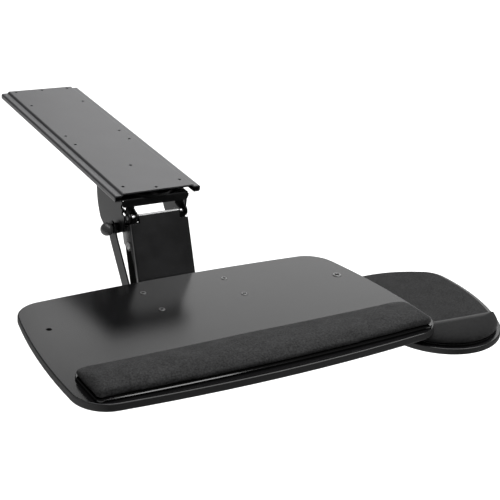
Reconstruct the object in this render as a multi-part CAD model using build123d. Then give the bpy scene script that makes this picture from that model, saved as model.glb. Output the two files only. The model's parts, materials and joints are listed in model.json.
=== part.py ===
from build123d import *
import math
import os

# Keyboard tray that hangs under a desk on a sliding, swivelling, lifting and tilting arm.
# Millimetres. X to the right, Y to the rear, Z up. The origin is the middle of the track's top face.

# Sheet metal
bend = 1.0
overrun = 20.0
running_gap = 0.05
seat_gap = 0.1

# Track, screwed to the underside of the desk
track_length = 450.85
track_width = 142.6
track_sheet = 2.0
track_height = 12.7
plate_side_inset = 13.1
plate_step_width = 2.3
flange_drop = 3.0
lip_reach = 10.3
screw_hole_radius = 2.5
screw_plate_inset = 10.8
front_pair_inset = 22.9
front_middle_inset = 8.0
second_middle_inset = 94.0
mid_pair_inset = 194.4
next_pair_inset = 232.1
rear_pair_inset = 375.5
last_pair_inset = 444.2

# Plugs that close the ends of both channels
stop_length = 11.5
stop_gap = 0.5
stop_clearance = 0.15
stop_button_radius = 1.9
stop_button_height = 0.8

# Carriage
glide_clearance = 0.2
carriage_sheet = 3.0
carriage_length = 110.0
carriage_edge_inset = 4.0
glide_length = 40.0
glide_tongue = 8.0
bumper_radius = 5.0
bumper_offset = 8.0
bumper_setback = 1.5
disc_radius = 50.0
disc_thickness = 4.1

# Swivel
swivel_setback = 52.0
swivel_bolt_radius = 6.0
swivel_head_radius = 14.0
swivel_head_height = 2.8
swivel_washer_radius = 13.0
swivel_washer_thickness = 2.0
swivel_nut_flats = 19.0
swivel_nut_height = 6.5

# Swivel bracket: top plate, front flange, two cheeks, two hinge lugs
bracket_sheet = 2.5
bracket_half_width = 56.0
bracket_front_reach = 46.0
flange_depth = 13.0
flange_chamfer_width = 3.4
flange_chamfer_height = 5.5
cheek_front_reach = 3.5
cheek_front_top = 5.0
cheek_front_height = 24.6
cheek_notch_depth = 8.0
cheek_drop = 39.0
cheek_length = 97.0
right_cheek_setback = 10.0
cheek_outline_shares = [(0.199, -0.845), (0.485, -1.0), (0.761, -0.744), (0.856, -0.387), (0.945, 0.264)]
lug_inner = 34.0
lug_outer = 48.6
lug_sheet = 2.0
lug_radius = 8.0
lug_web_setback = 9.6
lug_window_rise = 0.3
lug_shoulder_rise = 10.6
gusset_reach = 12.0
gusset_rise = 3.0
gusset_height = 5.0

# Hinge between bracket and arm
hinge_reach = 52.0
hinge_drop = 27.4
pin_radius = 3.25
pin_overhang = 0.4
bush_wall = 0.5

# Arm, in its own frame: Y' square to its front plate, Z' up along it, from the upper hinge
arm_lean = 25.7
link_lean = 28.0
link_length = 118.0
cover_sheet = 2.0
cover_half_width = 48.4
cover_front = 9.3
cover_rise = 3.7
cover_lip = 4.2
cover_shoulder = 10.15
cover_notch = 33.4
cover_low_gap = 17.0
cover_depth = 33.0
cover_skirt = 49.0
cover_crease_width = 11.4
cover_lip_width = 5.6
frame_gap = 0.3
frame_sheet = 2.5
frame_front = 5.6
frame_tongue_rise = 2.15
frame_slot_inner = 33.3
frame_slot_outer = 36.6
frame_web_top = 8.0
frame_web_gap = 18.0
frame_rear_top = 24.5
frame_rear_top_drop = 13.0
frame_rear_low = 25.3
frame_ear_radius = 7.0
frame_low_ear_radius = 8.0
cover_screw_radius = 2.0
cover_screw_head = 5.2
cover_screw_head_height = 1.8
cover_screw_setback = 9.1
cover_screw_drop = 41.3
cover_nut_flats = 7.0
cover_nut_height = 3.0

# Side link and its locking knob
link_pivot_back = 18.75
link_pivot_drop = 23.2
stud_radius = 4.0
stud_head_radius = 7.0
stud_head_height = 2.4
spacer_radius = 8.0
spacer_length = 5.1
link_sheet = 2.5
link_width = 23.0
link_flat = 14.0
open_pivot_gap = 0.2
knob_radius = 10.0
knob_flat = 7.5
knob_bore_depth = 9.0
link_bolt_head_radius = 6.5
link_bolt_head_height = 2.2
link_nut_flats = 13.0
link_nut_height = 5.0

# Head at the arm's lower end
head_sheet = 2.0
head_inner = 48.9
head_ear_radius = 9.0
head_web_top_drop = 1.8
head_web_height = 21.0
head_web_reach = 14.1
head_corner_reach = 8.6
head_corner_drop = 14.8
lower_pin_head_radius = 6.0
lower_pin_head_height = 1.6
tilt_reach = 21.6
tilt_rise = 10.2
tilt_bolt_radius = 4.0
tilt_head_radius = 6.5
tilt_head_height = 4.0
tilt_washer_radius = 8.0
tilt_nut_flats = 13.0
tilt_nut_height = 6.5

# Keyboard board, in its own frame: origin on its top face above the tilt bolt, Y' to the rear
board_pitch = 3.67
board_thickness = 12.0
board_half_width = 278.0
board_widest = 215.0
board_side_radius = 930.0
board_rear = 13.3
board_rear_radius = 3500.0
board_front = 301.0
board_front_radius = 2550.0
board_rear_corner = 46.0
board_front_corner = 48.0
board_top_round = 2.0
board_low_round = 4.0
tilt_below_board = 21.9
tilt_behind_origin = 0.8

# Steel bracket under the board
tray_sheet = 2.5
tray_half_width = 76.0
tray_plate_front = 95.0
tray_plate_rear = 10.0
tray_plate_corner = 10.0
tab_outer = 47.5
tab_radius = 8.5
tab_front = 62.0
board_screw_half_spacing = 67.4
board_screw_rear = 23.8
board_screw_front = 81.7
board_screw_radius = 2.5
board_screw_head = 4.6
board_screw_head_height = 0.8
board_nut_flats = 8.0
board_nut_height = 4.0

# Palm rest
rest_side_inset = 19.0
rest_rear = 199.0
rest_front = 289.0
rest_front_radius = 4030.0
rest_rear_corner = 22.0
rest_front_corner = 9.0
rest_thickness = 3.75
cushion_inset = 3.0
cushion_side_inset = 1.2
cushion_rear_height = 3.4
cushion_height = 14.2
cushion_front_height = 6.5
cushion_crest_share = 0.68
cushion_end_slope = 16.0
cushion_end_height = 4.5
crown_share = 0.76
end_mid_share = 0.42

# Mouse platform, in its own frame: origin at its pivot on its top face
pivot_edge_inset = 43.3
pivot_setback = 78.0
platform_drop = 28.0
platform_turn = 4.86
platform_thickness = 10.0
platform_middle = 98.0
platform_half_width = 108.6
platform_widest = 58.0
platform_side_radius = 290.4
platform_rear = 40.0
platform_rear_radius = 210.0
platform_rear_corner = 35.0
platform_nose_radius = 94.1
platform_top_round = 1.5
platform_low_round = 3.0
pivot_ear_radius = 14.0
pivot_ear_blend = 12.0
pad_thickness = 2.0
pad_side_inset = 7.5
pad_rear_inset = 5.0
pad_front = 148.0
pad_corner = 30.0
pad_pivot_gap = 2.5
mouse_rest_inset = 7.0
mouse_rest_gap = 0.3
mouse_rest_thickness = 3.0
mouse_cushion_inset = 1.5
mouse_cushion_height = 10.0
mouse_cushion_rim = 3.0
mouse_cushion_crest_share = 0.5
pivot_radius = 4.0
pivot_head_radius = 6.5
pivot_head_height = 1.0
pivot_spacer_radius = 8.0
pivot_washer_radius = 9.0
pivot_washer_thickness = 1.5
pivot_nut_flats = 13.0
pivot_nut_height = 6.5
plate_thickness = 3.0
plate_pivot_radius = 14.0
plate_far_radius = 30.0
plate_reach = 110.0
plate_screw_radius = 2.0
plate_screw_head = 4.0
plate_screw_head_height = 1.6
plate_screw_length = 8.0
plate_screw_first = 50.0
plate_screw_spread = 16.0

# Places that follow from the sizes above
plate_half_width = track_width / 2 - plate_side_inset
screw_half_spacing = plate_half_width - screw_plate_inset
rest_half_width = board_half_width - rest_side_inset
pivot_half_spacing = board_half_width - pivot_edge_inset
cover_drop = link_length - cover_low_gap
frame_web_drop = link_length - frame_web_gap
track_front = -track_length / 2
channel_top = -flange_drop - track_sheet
channel_floor = -track_height + track_sheet
glide_height = channel_top - channel_floor - 2 * glide_clearance
glide_top = channel_top - glide_clearance
glide_wall = (glide_height - carriage_sheet) / 2
carriage_top = glide_top - glide_wall
carriage_low = carriage_top - carriage_sheet
carriage_front = track_front + stop_length + stop_gap
carriage_half_width = track_width / 2 - track_sheet - glide_clearance - carriage_edge_inset
lip_inner = track_width / 2 - lip_reach
bracket_top = carriage_low - disc_thickness - seat_gap
bracket_low = bracket_top - bracket_sheet
swivel_y = track_front + swivel_setback
hinge_y = swivel_y - hinge_reach
hinge_z = bracket_top - hinge_drop
flange_front = swivel_y - bracket_front_reach - hinge_y
frame_half_width = cover_half_width - cover_sheet - frame_gap
frame_inner = frame_half_width - frame_sheet
stud_start = bracket_half_width + seat_gap / 2
link_upper_x = -stud_start - spacer_length - seat_gap - link_sheet / 2
link_lower_x = -head_inner - head_sheet - seat_gap - link_sheet / 2
knob_x = link_upper_x - link_sheet / 2 - running_gap - knob_flat
lower_y = hinge_y - link_length * math.sin(math.radians(link_lean))
lower_z = hinge_z - link_length * math.cos(math.radians(link_lean))
link_low_y = lower_y + link_pivot_back
link_low_z = lower_z - link_pivot_drop
tilt_y = lower_y - tilt_reach
tilt_z = lower_z + tilt_rise
tab_inner = tab_outer - tray_sheet
tilt_washer_thickness = head_inner - tab_outer - 2 * seat_gap
frame_low_y = -link_length * math.sin(math.radians(link_lean - arm_lean))
frame_low_z = -link_length * math.cos(math.radians(link_lean - arm_lean))

arm_place = Pos(0, hinge_y, hinge_z) * Rot(-arm_lean, 0, 0)
pitch_place = Rot(-board_pitch, 0, 0) * Pos(0, -tilt_behind_origin, tilt_below_board)
board_place = Pos(0, tilt_y, tilt_z) * pitch_place
mouse_place = (
    board_place * Pos(pivot_half_spacing, -pivot_setback, -platform_drop) * Rot(0, 0, -platform_turn)
)


# Helpers
def offset_points(points, distance):
    """The same polyline moved to its left by a distance, with mitred corners."""
    normals = []
    for (x0, y0), (x1, y1) in zip(points, points[1:]):
        run = math.hypot(x1 - x0, y1 - y0)
        normals.append((-(y1 - y0) / run, (x1 - x0) / run))
    moved = []
    for i, (x, y) in enumerate(points):
        a = normals[max(i - 1, 0)]
        b = normals[min(i, len(normals) - 1)]
        scale = distance / (1 + a[0] * b[0] + a[1] * b[1])
        moved.append((x + scale * (a[0] + b[0]), y + scale * (a[1] + b[1])))
    return moved


def bent_sheet(points, thickness):
    """Section of a folded sheet that lies to the left of a polyline, rounded at each fold."""
    near = []
    far = []
    for (x0, y0), (x1, y1), (x2, y2) in zip(points, points[1:], points[2:]):
        left_turn = (x1 - x0) * (y2 - y1) > (y1 - y0) * (x2 - x1)
        near.append(bend + thickness if left_turn else bend)
        far.append(bend if left_turn else bend + thickness)
    moved = offset_points(points, thickness)
    edges = FilletPolyline(*points, radius=near).edges()
    edges += FilletPolyline(*reversed(moved), radius=list(reversed(far))).edges()
    edges += [Line(points[-1], moved[-1]).edge(), Line(moved[0], points[0]).edge()]
    return make_face(edges)


def polygon(points):
    return make_face(Polyline(*points, close=True).edges())


def along_x(face, x_from, x_to):
    """A side view, drawn in Y and Z, made solid from one X to another."""
    return extrude(Pos(x_from, 0, 0) * (Plane.YZ * face), amount=x_to - x_from, dir=(1, 0, 0))


def along_y(face, y_from, y_to):
    """A front view, drawn in X and Z, made solid from one Y to another."""
    return extrude(Pos(0, y_from, 0) * (Plane.XZ * face), amount=y_to - y_from, dir=(0, 1, 0))


def along_z(face, z_from, z_to):
    """A plan, drawn in X and Y, made solid from one Z to another."""
    return extrude(Pos(0, 0, z_from) * face, amount=z_to - z_from, dir=(0, 0, 1))


def disc_at(x, y, radius):
    return Pos(x, y) * Circle(radius)


def rectangle(x_from, x_to, y_from, y_to):
    return Pos((x_from + x_to) / 2, (y_from + y_to) / 2) * Rectangle(x_to - x_from, y_to - y_from)


def block(x_from, x_to, y_from, y_to, z_from, z_to):
    return along_z(rectangle(x_from, x_to, y_from, y_to), z_from, z_to)


def rod(x_from, x_to, y, z, radius):
    """A round bar along X."""
    return along_x(disc_at(y, z, radius), x_from, x_to)


def rod_z(x, y, z_from, z_to, radius):
    """A round bar along Z."""
    return along_z(disc_at(x, y, radius), z_from, z_to)


def hexagon(flats):
    return RegularPolygon(flats / 2, 6, major_radius=False)


def capsule(y0, z0, y1, z1, radius):
    """Outline of a bar with round ends at two points."""
    ends = disc_at(y0, z0, radius) + disc_at(y1, z1, radius)
    run = math.hypot(y1 - y0, z1 - z0)
    across_y = -(z1 - z0) / run * radius
    across_z = (y1 - y0) / run * radius
    corners = [(y0 + across_y, z0 + across_z), (y1 + across_y, z1 + across_z)]
    corners += [(y1 - across_y, z1 - across_z), (y0 - across_y, z0 - across_z)]
    return ends + polygon(corners)


# Track
def make_track():
    half = track_width / 2
    step_x = plate_half_width + plate_step_width
    right = [(lip_inner, -track_height), (half, -track_height), (half, -flange_drop)]
    right += [(step_x, -flange_drop), (plate_half_width, 0)]
    left = [(-x, z) for x, z in reversed(right)]
    body = along_y(bent_sheet(right + left, track_sheet), track_front, -track_front)
    pairs = [front_pair_inset, mid_pair_inset, next_pair_inset, rear_pair_inset, last_pair_inset]
    for inset in pairs:
        for side in (-1, 1):
            place = side * screw_half_spacing
            body -= rod_z(place, track_front + inset, -track_height, overrun, screw_hole_radius)
    for inset in (front_middle_inset, second_middle_inset, last_pair_inset):
        body -= rod_z(0, track_front + inset, -track_height, overrun, screw_hole_radius)
    return body


def make_end_stops():
    low = channel_floor + stop_clearance
    top = channel_top - stop_clearance
    outer = track_width / 2 - track_sheet - stop_clearance
    section = rectangle(lip_inner, outer, low, top)
    section = fillet(section.vertices().group_by(Axis.X)[-1], radius=bend)
    plug = along_y(section, 0, stop_length)
    button_x = (lip_inner + outer) / 2
    button = along_y(disc_at(button_x, (low + top) / 2, stop_button_radius), -stop_button_height, 0)
    front = Pos(0, track_front, 0) * (plug + button)
    rear = front.mirror(Plane.XZ)
    return Compound([front, rear, front.mirror(Plane.YZ), rear.mirror(Plane.YZ)])


# Carriage
def make_carriage_plate():
    rear = carriage_front + carriage_length
    plate = block(-carriage_half_width, carriage_half_width, carriage_front, rear, carriage_low, carriage_top)
    return plate - rod_z(0, swivel_y, -overrun - track_height, 0, swivel_bolt_radius + running_gap)


def make_glides():
    inner = carriage_half_width - glide_tongue
    outer = track_width / 2 - track_sheet - glide_clearance
    section = rectangle(inner, outer, glide_top - glide_height, glide_top)
    section = fillet(section.vertices().group_by(Axis.X)[-1], radius=bend)
    slot_edge = carriage_half_width + running_gap
    section -= rectangle(inner, slot_edge, carriage_low - running_gap, carriage_top + running_gap)
    lip_gap = lip_inner - glide_clearance
    section -= rectangle(inner, lip_gap, glide_top - glide_height, carriage_low)
    rear_start = carriage_front + carriage_length - glide_length
    shoes = []
    for start in (carriage_front, rear_start):
        shoe = along_y(section, start, start + glide_length)
        shoes += [shoe, shoe.mirror(Plane.YZ)]
    return Compound(shoes)


def make_bumper():
    place = carriage_front + bumper_radius + bumper_setback
    height = -track_sheet - carriage_top - seat_gap * 2
    button = rod_z(-bumper_offset, place, carriage_top, carriage_top + height, bumper_radius)
    top = button.faces().sort_by(Axis.Z)[-1]
    return chamfer(top.edges(), length=height / 3)


def make_swivel_disc():
    disc = rod_z(0, swivel_y, carriage_low - disc_thickness, carriage_low, disc_radius)
    return disc - rod_z(0, swivel_y, -overrun - track_height, 0, swivel_bolt_radius + running_gap)


def swivel_washer_top():
    return bracket_low - seat_gap


def make_swivel_bolt():
    end = swivel_washer_top() - swivel_washer_thickness - swivel_nut_height
    shaft = rod_z(0, swivel_y, end, carriage_top, swivel_bolt_radius)
    head = rod_z(0, swivel_y, carriage_top, carriage_top + swivel_head_height, swivel_head_radius)
    head = chamfer(head.faces().sort_by(Axis.Z)[-1].edges(), length=swivel_head_height / 3)
    return shaft + head


def make_swivel_washer():
    top = swivel_washer_top()
    ring = rod_z(0, swivel_y, top - swivel_washer_thickness, top, swivel_washer_radius)
    return ring - rod_z(0, swivel_y, top - overrun, top + overrun, swivel_bolt_radius + running_gap)


def make_swivel_nut():
    top = swivel_washer_top() - swivel_washer_thickness
    nut = along_z(Pos(0, swivel_y) * hexagon(swivel_nut_flats), top - swivel_nut_height, top)
    return nut - rod_z(0, swivel_y, top - overrun, top + overrun, swivel_bolt_radius + running_gap)


# Swivel bracket, drawn from the hinge axis and put in place last
def cheek_outline():
    top = hinge_drop
    behind_flange = flange_front + bracket_sheet
    low = [(y * cheek_length, z * cheek_drop) for y, z in cheek_outline_shares]
    front_low = -cheek_front_reach, cheek_front_top - cheek_front_height
    notch = -cheek_front_reach + cheek_notch_depth
    step = (notch, cheek_front_top)
    neck = (notch, cheek_front_top + cheek_notch_depth)
    front = [(behind_flange, top), (behind_flange, cheek_front_top + cheek_notch_depth), neck, step]
    edges = [Line(a, b) for a, b in zip(front, front[1:])]
    edges.append(Line(step, (-cheek_front_reach, cheek_front_top)))
    edges.append(Line((-cheek_front_reach, cheek_front_top), front_low))
    edges.append(Line(front_low, low[0]))
    edges.append(ThreePointArc(low[0], low[1], low[2]))
    edges.append(ThreePointArc(low[2], low[3], low[4]))
    edges.append(Line(low[4], (cheek_length, top)))
    edges.append(Line((cheek_length, top), (behind_flange, top)))
    return make_face(edges)


def make_lug(side):
    ends = lug_radius + overrun
    folds = [
        (lug_outer, -ends),
        (lug_outer, lug_web_setback),
        (lug_inner, lug_web_setback),
        (lug_inner, -ends),
    ]
    channel = along_z(bent_sheet(folds, lug_sheet), -ends, hinge_drop)
    flange_low = hinge_drop - flange_depth
    web_front = lug_web_setback - lug_sheet
    slant = lug_radius * math.sqrt(0.5)
    outline = [(lug_web_setback, flange_low + lug_sheet), (lug_web_setback, -lug_radius), (0, -lug_radius)]
    outline += [(-slant, slant), (web_front, lug_shoulder_rise), (web_front, flange_low + lug_sheet)]
    view = polygon(outline) + Circle(lug_radius)
    lug = channel & along_x(view, lug_inner - overrun, lug_outer + overrun)
    gap = [lug_inner + lug_sheet, lug_outer - lug_sheet, web_front - lug_sheet, lug_web_setback + lug_sheet]
    lug -= block(*gap, -ends, lug_window_rise)
    reach = lug_web_setback + gusset_reach
    gusset = [
        (web_front, gusset_rise),
        (reach, gusset_rise + gusset_height),
        (reach, hinge_drop),
        (web_front, hinge_drop),
    ]
    lug += along_x(polygon(gusset), lug_inner, lug_inner + lug_sheet)
    strap = rectangle(web_front, reach, gusset_rise, gusset_rise + gusset_height)
    lug += along_x(strap, lug_outer - lug_sheet, lug_outer)
    lug -= rod(lug_inner - overrun, lug_outer + overrun, 0, 0, pin_radius + running_gap)
    return lug if side > 0 else lug.mirror(Plane.YZ)


def make_swivel_bracket():
    half = bracket_half_width
    drop = cheek_drop + overrun
    folds = [(half, -drop), (half, hinge_drop), (-half, hinge_drop), (-half, -drop)]
    section = bent_sheet(folds, bracket_sheet)
    body = along_y(section, -overrun, cheek_length + overrun) & along_x(cheek_outline(), -half, half)
    flange_low = hinge_drop - flange_depth
    body -= block(
        half - bracket_sheet - bend, half + overrun, -overrun, right_cheek_setback, -drop, flange_low,
    )
    rear = flange_front + cheek_notch_depth
    turned = [(rear, hinge_drop), (flange_front, hinge_drop), (flange_front, flange_low)]
    flat = half - bend - bracket_sheet
    body += along_x(bent_sheet(turned, bracket_sheet), -flat, flat)
    wing_top = hinge_drop - bracket_sheet - bend
    chamfer_top = flange_low + flange_chamfer_height
    chamfer_x = half - flange_chamfer_width
    wing = [(-half, wing_top), (-half, chamfer_top), (-chamfer_x, flange_low)]
    wing += [(-x, z) for x, z in reversed(wing)]
    body += along_y(polygon(wing), flange_front, flange_front + bracket_sheet)
    body += make_lug(1)
    body += make_lug(-1)
    body -= rod(
        -half - overrun, -half + overrun, link_pivot_back, -link_pivot_drop, stud_radius + running_gap,
    )
    body = Pos(0, hinge_y, hinge_z) * body
    return body - rod_z(0, swivel_y, bracket_low - overrun, 0, swivel_bolt_radius + running_gap)


def make_upper_pin():
    end = lug_outer + pin_overhang
    pin = rod(-end, end, hinge_y, hinge_z, pin_radius)
    ends = pin.edges().filter_by(GeomType.CIRCLE)
    return chamfer(ends, length=pin_overhang)


# Arm cover and frame, drawn in the arm's own frame
def make_arm_cover():
    half = cover_half_width
    rear = -cover_front + cover_depth
    folds = [(-half, rear), (-half, -cover_front), (half, -cover_front), (half, rear)]
    shell = along_z(bent_sheet(folds, cover_sheet), -cover_drop, -cover_shoulder)
    crease = -cover_front + cover_crease_width
    low = -cover_front + cover_lip_width
    view = [
        (-cover_front, -cover_shoulder),
        (rear, -cover_shoulder),
        (rear, -cover_skirt + cover_crease_width),
    ]
    view += [(rear - cover_crease_width, -cover_skirt), (crease, -cover_skirt), (low, -cover_drop)]
    view += [(-cover_front, -cover_drop)]
    shell &= along_x(polygon(view), -half, half)
    rolled = [(-cover_front + cover_sheet + cover_lip, cover_rise), (-cover_front, cover_rise)]
    rolled += [(-cover_front, -cover_shoulder - cover_sheet)]
    shell += along_x(bent_sheet(rolled, cover_sheet), -cover_notch, cover_notch)
    shell -= rod(
        -half - overrun, half + overrun,
        cover_screw_setback, -cover_screw_drop, cover_screw_radius + running_gap,
    )
    return arm_place * shell


def frame_outline():
    low_left = frame_low_y - frame_low_ear_radius
    low_right = frame_low_y + frame_low_ear_radius
    points = [(-frame_front, 0), (frame_ear_radius, 0), (frame_rear_top, -frame_rear_top_drop)]
    points += [(frame_rear_low, -frame_web_drop), (low_right, frame_low_z), (low_left, frame_low_z)]
    points += [(-frame_front, -frame_web_drop)]
    view = polygon(points) + Circle(frame_ear_radius)
    return view + disc_at(frame_low_y, frame_low_z, frame_low_ear_radius)


def make_arm_frame():
    half = frame_half_width
    rear = frame_rear_top + overrun
    folds = [(-half, rear), (-half, -frame_front), (half, -frame_front), (half, rear)]
    top = frame_ear_radius + overrun
    low = frame_low_z - frame_low_ear_radius - overrun
    section = bent_sheet(folds, frame_sheet)
    body = along_z(section, low, top)
    left_plate = frame_low_y - frame_low_ear_radius - bend
    web = [-frame_front - overrun, -frame_front + frame_sheet + bend]
    for start, end in ((-frame_slot_outer, -frame_slot_inner), (frame_slot_inner, frame_slot_outer)):
        body -= block(start, end, *web, -frame_web_top, top)
    body -= block(-frame_inner, frame_inner, *web, -frame_tongue_rise, top)
    body -= block(-frame_inner, frame_inner, *web, low, -frame_web_drop)
    for side in (-1, 1):
        plate = along_x(rectangle(left_plate, 0, low, -frame_web_drop), frame_inner, half)
        body += plate if side > 0 else plate.mirror(Plane.YZ)
        ear = along_x(Circle(frame_ear_radius), frame_inner, half)
        body += ear if side > 0 else ear.mirror(Plane.YZ)
    body &= along_x(frame_outline(), -half, half)
    body -= rod(-half - overrun, half + overrun, 0, 0, pin_radius + bush_wall + 2 * running_gap)
    body -= rod(
        -half - overrun, half + overrun,
        frame_low_y, frame_low_z, pin_radius + bush_wall + 2 * running_gap,
    )
    body -= rod(
        -half - overrun, half + overrun,
        cover_screw_setback, -cover_screw_drop, cover_screw_radius + running_gap,
    )
    return arm_place * body


def make_arm_bushes():
    sleeve = rod(frame_inner, frame_half_width, 0, 0, pin_radius + running_gap + bush_wall)
    bush = sleeve - rod(0, frame_half_width + overrun, 0, 0, pin_radius + running_gap)
    pair = [bush, bush.mirror(Plane.YZ)]
    upper = [arm_place * piece for piece in pair]
    lower = [arm_place * Pos(0, frame_low_y, frame_low_z) * piece for piece in pair]
    return Compound(upper + lower)


def make_cover_screws():
    nut_x = frame_inner - cover_nut_height
    shaft = rod(nut_x, cover_half_width, cover_screw_setback, -cover_screw_drop, cover_screw_radius)
    head_end = cover_half_width + cover_screw_head_height
    head = rod(cover_half_width, head_end, cover_screw_setback, -cover_screw_drop, cover_screw_head)
    head = chamfer(head.faces().sort_by(Axis.X)[-1].edges(), length=cover_screw_head_height / 2)
    screw = shaft + head
    return Compound([arm_place * screw, arm_place * screw.mirror(Plane.YZ)])


def make_cover_nuts():
    face = Pos(cover_screw_setback, -cover_screw_drop) * hexagon(cover_nut_flats)
    nut = along_x(face, frame_inner - cover_nut_height, frame_inner)
    nut -= rod(0, cover_half_width, cover_screw_setback, -cover_screw_drop, cover_screw_radius + running_gap)
    return Compound([arm_place * nut, arm_place * nut.mirror(Plane.YZ)])


# Side link, its stud, spacer and knob
def upper_link_point():
    return hinge_y + link_pivot_back, hinge_z - link_pivot_drop


def make_link_stud():
    y, z = upper_link_point()
    inner = -bracket_half_width + bracket_sheet
    shaft = rod(knob_x - knob_bore_depth + knob_flat, inner, y, z, stud_radius)
    head = rod(inner, inner + stud_head_height, y, z, stud_head_radius)
    return shaft + head


def make_link_spacer():
    y, z = upper_link_point()
    ring = rod(-stud_start - spacer_length, -stud_start, y, z, spacer_radius)
    return ring - rod(-stud_start - overrun, -stud_start + overrun, y, z, stud_radius + running_gap)


def make_ball_knob():
    y, z = upper_link_point()
    ball = Pos(knob_x, y, z) * Sphere(knob_radius)
    ball &= Pos(knob_x, y, z) * along_x(Circle(knob_radius + seat_gap), -knob_radius, knob_flat)
    bore = rod(
        knob_x + knob_flat - knob_bore_depth - knob_flat, knob_x + knob_radius,
        y, z, stud_radius + running_gap,
    )
    return ball - bore


def make_link_bar():
    lean = math.radians(link_lean)
    y, z = upper_link_point()
    end = link_width
    rise = [(link_upper_x, end), (link_upper_x, -link_flat)]
    rise += [(link_lower_x, -link_length + link_flat), (link_lower_x, -link_length - end)]
    section = bent_sheet([(x - link_sheet / 2, s) for x, s in rise], link_sheet)
    body = along_y(section, -link_width, link_width)
    body &= along_x(
        capsule(0, 0, 0, -link_length, link_width / 2), -bracket_half_width - overrun, -cover_notch,
    )
    body -= rod(-bracket_half_width - overrun, -cover_notch, 0, 0, stud_radius + running_gap)
    body -= rod(-bracket_half_width - overrun, -cover_notch, 0, -link_length, stud_radius + open_pivot_gap)
    return Pos(0, y, z) * Rot(-math.degrees(lean), 0, 0) * body


def make_link_bolt():
    inner = -head_inner
    outer = link_lower_x - link_sheet / 2 - seat_gap - link_nut_height
    shaft = rod(outer, inner, link_low_y, link_low_z, stud_radius)
    return shaft + rod(inner, inner + link_bolt_head_height, link_low_y, link_low_z, link_bolt_head_radius)


def make_link_nut():
    outer = link_lower_x - link_sheet / 2 - seat_gap
    nut = along_x(Pos(link_low_y, link_low_z) * hexagon(link_nut_flats), outer - link_nut_height, outer)
    return nut - rod(outer - overrun, outer + overrun, link_low_y, link_low_z, stud_radius + running_gap)


# Head
def make_head_yoke():
    corner = (lower_y - head_corner_reach, lower_z - head_corner_drop)
    points = [(tilt_y, tilt_z), (lower_y, lower_z), (link_low_y, link_low_z), corner]
    view = offset(polygon(points), amount=head_ear_radius, kind=Kind.ARC)
    outer = head_inner + head_sheet
    body = along_x(view, head_inner, outer) + along_x(view, -outer, -head_inner)
    web_front = lower_y - head_web_reach
    web_top = lower_z - head_web_top_drop
    web = [web_front, web_front + head_sheet, web_top - head_web_height, web_top]
    body += along_x(rectangle(*web), -head_inner, head_inner)
    body -= rod(-outer - overrun, outer + overrun, lower_y, lower_z, pin_radius + running_gap)
    body -= rod(-outer - overrun, outer + overrun, tilt_y, tilt_z, tilt_bolt_radius + running_gap)
    return body - rod(
        -outer - overrun, -head_inner + overrun, link_low_y, link_low_z, stud_radius + running_gap,
    )


def make_lower_pin():
    outer = head_inner + head_sheet
    pin = rod(-outer, outer, lower_y, lower_z, pin_radius)
    for side in (-1, 1):
        ends = sorted((side * outer, side * (outer + lower_pin_head_height)))
        pin += rod(*ends, lower_y, lower_z, lower_pin_head_radius)
    return pin


def make_tilt_bolt():
    outer = head_inner + head_sheet
    shaft = rod(-outer, outer + tilt_nut_height, tilt_y, tilt_z, tilt_bolt_radius)
    return shaft + rod(-outer - tilt_head_height, -outer, tilt_y, tilt_z, tilt_head_radius)


def make_tilt_nut():
    outer = head_inner + head_sheet
    nut = along_x(Pos(tilt_y, tilt_z) * hexagon(tilt_nut_flats), outer, outer + tilt_nut_height)
    return nut - rod(outer - overrun, outer + overrun, tilt_y, tilt_z, tilt_bolt_radius + running_gap)


def make_tilt_washers():
    start = tab_outer + seat_gap
    washer = rod(start, start + tilt_washer_thickness, tilt_y, tilt_z, tilt_washer_radius)
    washer -= rod(0, head_inner + overrun, tilt_y, tilt_z, tilt_bolt_radius + running_gap)
    return Compound([washer, washer.mirror(Plane.YZ)])


# Bracket under the board
def make_tray_bracket():
    low = -board_thickness - tray_sheet
    outline = rectangle(-tray_half_width, tray_half_width, -tray_plate_front, -tray_plate_rear)
    outline = fillet(outline.vertices(), radius=tray_plate_corner)
    body = along_z(outline, low, -board_thickness)
    pivot = (tilt_behind_origin, -tilt_below_board)
    tab = polygon([(-tab_front, low), (-tray_plate_rear, low), (pivot[0], pivot[1] + tab_radius),
                   (pivot[0], pivot[1] - tab_radius)])
    tab += disc_at(*pivot, tab_radius)
    body += along_x(tab, tab_inner, tab_outer) + along_x(tab, -tab_outer, -tab_inner)
    body -= rod(-tab_outer - overrun, tab_outer + overrun, *pivot, tilt_bolt_radius + running_gap)
    for x, y in board_screw_places():
        body -= rod_z(x, y, low - overrun, 0, board_screw_radius + running_gap)
    return board_place * body


def board_screw_places():
    rows = (-board_screw_front, -board_screw_rear)
    return [(side * board_screw_half_spacing, y) for side in (-1, 1) for y in rows]


# Board
def make_board():
    side_x = board_half_width - board_side_radius
    outline = (
        disc_at(side_x, -board_widest, board_side_radius)
        & disc_at(-side_x, -board_widest, board_side_radius)
    )
    outline &= disc_at(0, board_rear - board_rear_radius, board_rear_radius)
    outline &= disc_at(0, board_front_radius - board_front, board_front_radius)
    outline = fillet(outline.vertices().group_by(Axis.Y)[-1], radius=board_rear_corner)
    outline = fillet(outline.vertices().group_by(Axis.Y)[0], radius=board_front_corner)
    body = along_z(outline, -board_thickness, 0)
    body = fillet(body.faces().sort_by(Axis.Z)[-1].edges(), radius=board_top_round)
    body = fillet(body.faces().sort_by(Axis.Z)[0].edges(), radius=board_low_round)
    for x, y in board_screw_places():
        body -= rod_z(x, y, -board_thickness - overrun, overrun, board_screw_radius + running_gap)
    for side in (-1, 1):
        x = side * pivot_half_spacing
        body -= rod_z(x, -pivot_setback, -board_thickness - overrun, overrun, pivot_radius + running_gap)
    return board_place * body


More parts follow.
